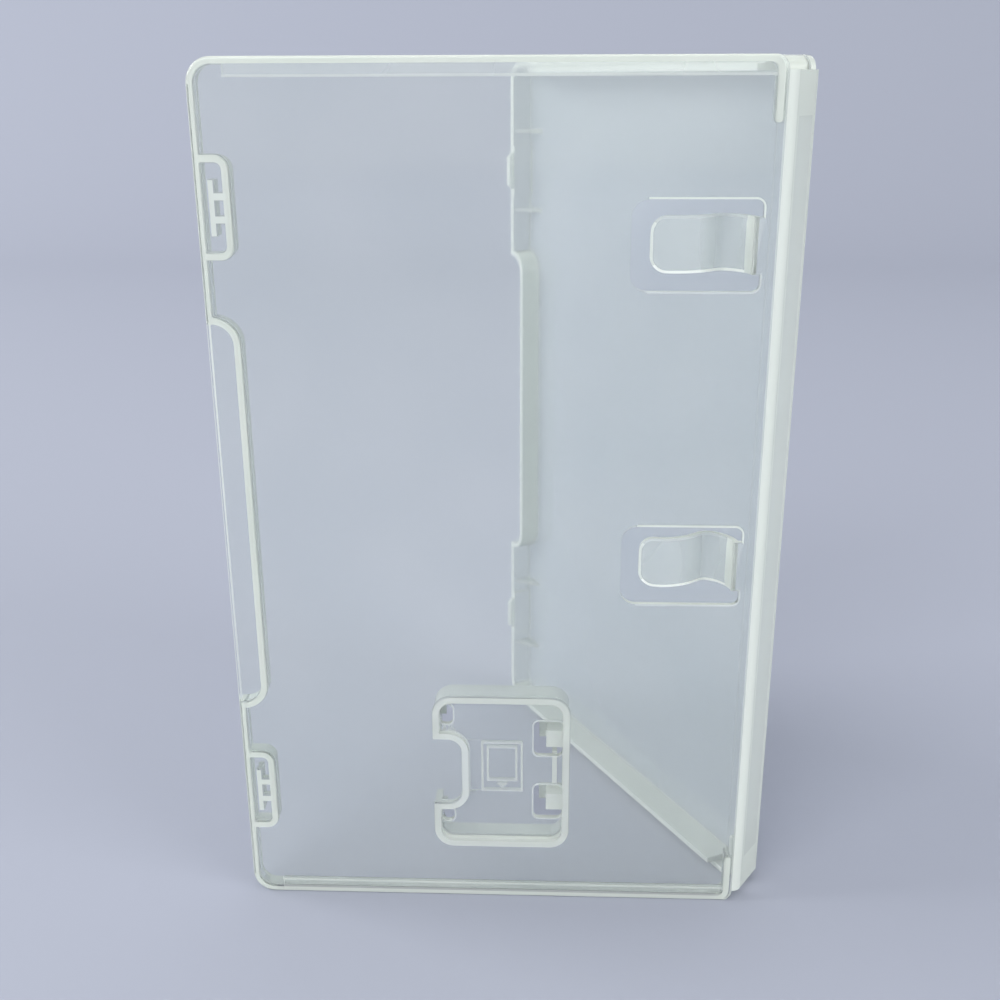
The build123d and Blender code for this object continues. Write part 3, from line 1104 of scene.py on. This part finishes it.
@dataclass(frozen=True)
class Studio:
    """Seamless paper, soft lamps and an even surround."""

    floor_m: float = 4.0
    wall_m: float = 2.4
    cove_m: float = 0.7
    cove_steps: int = 24
    back_m: float = 1.6
    slack_m: float = 0.01
    target_m: tuple[float, float, float] = (0.0, 0.0, 0.085)
    softboxes: tuple[Softbox, ...] = (
        Softbox("key_softbox", (-0.9, -1.6, 1.1), 1.2, 17.5),
        Softbox("side_softbox", (-1.9, 0.2, 1.3), 1.2, 26.0),
        Softbox("fill_softbox", (1.6, -1.0, 0.8), 1.2, 15.0),
        Softbox("back_softbox", (0.2, 1.0, 1.9), 1.6, 5.0),
    )
    surround: str = "#eef1f5"
    surround_strength: float = 0.75

    def build(self) -> bpy.types.Object:
        """Sets up the paper, the lamps and the surround.

        Returns:
            The paper.
        """
        paper = self.paper()
        for softbox in self.softboxes:
            softbox.build(Vector(self.target_m))
        world = bpy.data.worlds.new("even_surround")
        world.use_nodes = True
        surround = world.node_tree.nodes["Background"]
        surround.inputs["Color"].default_value = linear(self.surround)
        surround.inputs["Strength"].default_value = self.surround_strength
        bpy.context.scene.world = world
        return paper

    def paper(self) -> bpy.types.Object:
        """Lays the paper on the floor and sweeps it up behind the case.

        Returns:
            The paper.
        """
        bpy.ops.object.select_all(action="DESELECT")
        bpy.ops.mesh.primitive_plane_add(size=self.floor_m, location=(0, self.back_m - self.floor_m / 2, 0))
        paper = bpy.context.active_object
        paper.name = "paper_sweep"
        apply_place(paper)
        self.select_back_edge(paper)
        bpy.ops.object.mode_set(mode="EDIT")
        bpy.ops.mesh.select_mode(type="EDGE")
        bpy.ops.mesh.extrude_region_move(TRANSFORM_OT_translate={"value": (0, 0, self.wall_m)})
        self.select_back_edge(paper)
        bpy.ops.object.mode_set(mode="EDIT")
        bpy.ops.mesh.bevel(offset=self.cove_m, segments=self.cove_steps)
        bpy.ops.object.mode_set(mode="OBJECT")
        bpy.ops.object.shade_smooth()
        paper.data.materials.append(PAPER_FINISH.material())
        return paper

    def select_back_edge(self, paper: bpy.types.Object) -> None:
        """Selects the floor's back edge alone and leaves edit mode.

        Args:
            paper: The paper, flat or swept up.
        """
        bpy.ops.object.mode_set(mode="EDIT")
        bpy.ops.mesh.select_all(action="DESELECT")
        bpy.ops.object.mode_set(mode="OBJECT")
        for edge in paper.data.edges:
            ends = [paper.data.vertices[i].co for i in edge.vertices]
            edge.select = all(p.y > self.back_m - self.slack_m and p.z < self.slack_m for p in ends)


@dataclass(frozen=True)
class PhotoCamera:
    """Camera solved from the photograph's straight edges."""

    place_mm: tuple[float, float, float] = (9.17, -273.85, 166.15)
    yaw_deg: float = 2.36
    pitch_deg: float = 20.29
    roll_deg: float = -0.21
    focal_px: float = 1236.3
    centre_px: tuple[float, float] = (504.6, 535.9)
    image_px: float = 1000.0
    sensor_mm: float = 36.0
    near_m: float = 0.01

    def build(self) -> None:
        """Places the camera and makes it the scene's camera."""
        data = bpy.data.cameras.new("photo_camera")
        data.sensor_width = self.sensor_mm
        data.lens = self.focal_px * self.sensor_mm / self.image_px
        data.shift_x = (self.image_px / 2 - self.centre_px[0]) / self.image_px
        data.shift_y = (self.centre_px[1] - self.image_px / 2) / self.image_px
        data.clip_start = self.near_m
        camera = bpy.data.objects.new("photo_camera", data)
        turn = Euler((math.radians(90 - self.pitch_deg), 0, math.radians(self.yaw_deg))).to_matrix()
        turn = turn @ Matrix.Rotation(math.radians(self.roll_deg), 3, "Z")
        camera.matrix_world = Matrix.Translation(Vector(self.place_mm) * MM) @ turn.to_4x4()
        bpy.context.scene.collection.objects.link(camera)
        bpy.context.scene.camera = camera


def main() -> None:
    """Builds the dressed case and its studio, in order."""
    logging.basicConfig(level=logging.INFO, format="%(name)s: %(message)s")
    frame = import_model()
    back_fold = Fold.of_joint(frame["joints"], "back_hinge", BACK_AXIS_MM)
    front_fold = Fold.of_joint(frame["joints"], "front_hinge", FRONT_AXIS_MM)
    back_cover = BackCover()
    spine_deg = back_cover.inward_deg + back_fold.turn_deg
    front_deg = spine_deg + front_fold.turn_deg
    back_web = LivingHinge("back_living_hinge", ("back_cover", "spine"), back_fold, back_cover.inward_deg)
    front_web = LivingHinge("front_living_hinge", ("spine", "front_cover"), front_fold, spine_deg)
    log_piece(back_cover.moulding(back_fold.axis_mm).build(frame["nodes"]))
    log_piece(Spine().moulding(back_fold.axis_mm, spine_deg).build(frame["nodes"]))
    log_piece(FrontCover().moulding(front_fold.axis_mm, front_deg).build(frame["nodes"]))
    log_piece(back_web.build())
    log_piece(front_web.build())
    log_piece(Studio().build())
    PhotoCamera().build()
    bpy.context.scene.view_settings.view_transform = "Standard"


if __name__ == "__main__":
    main()
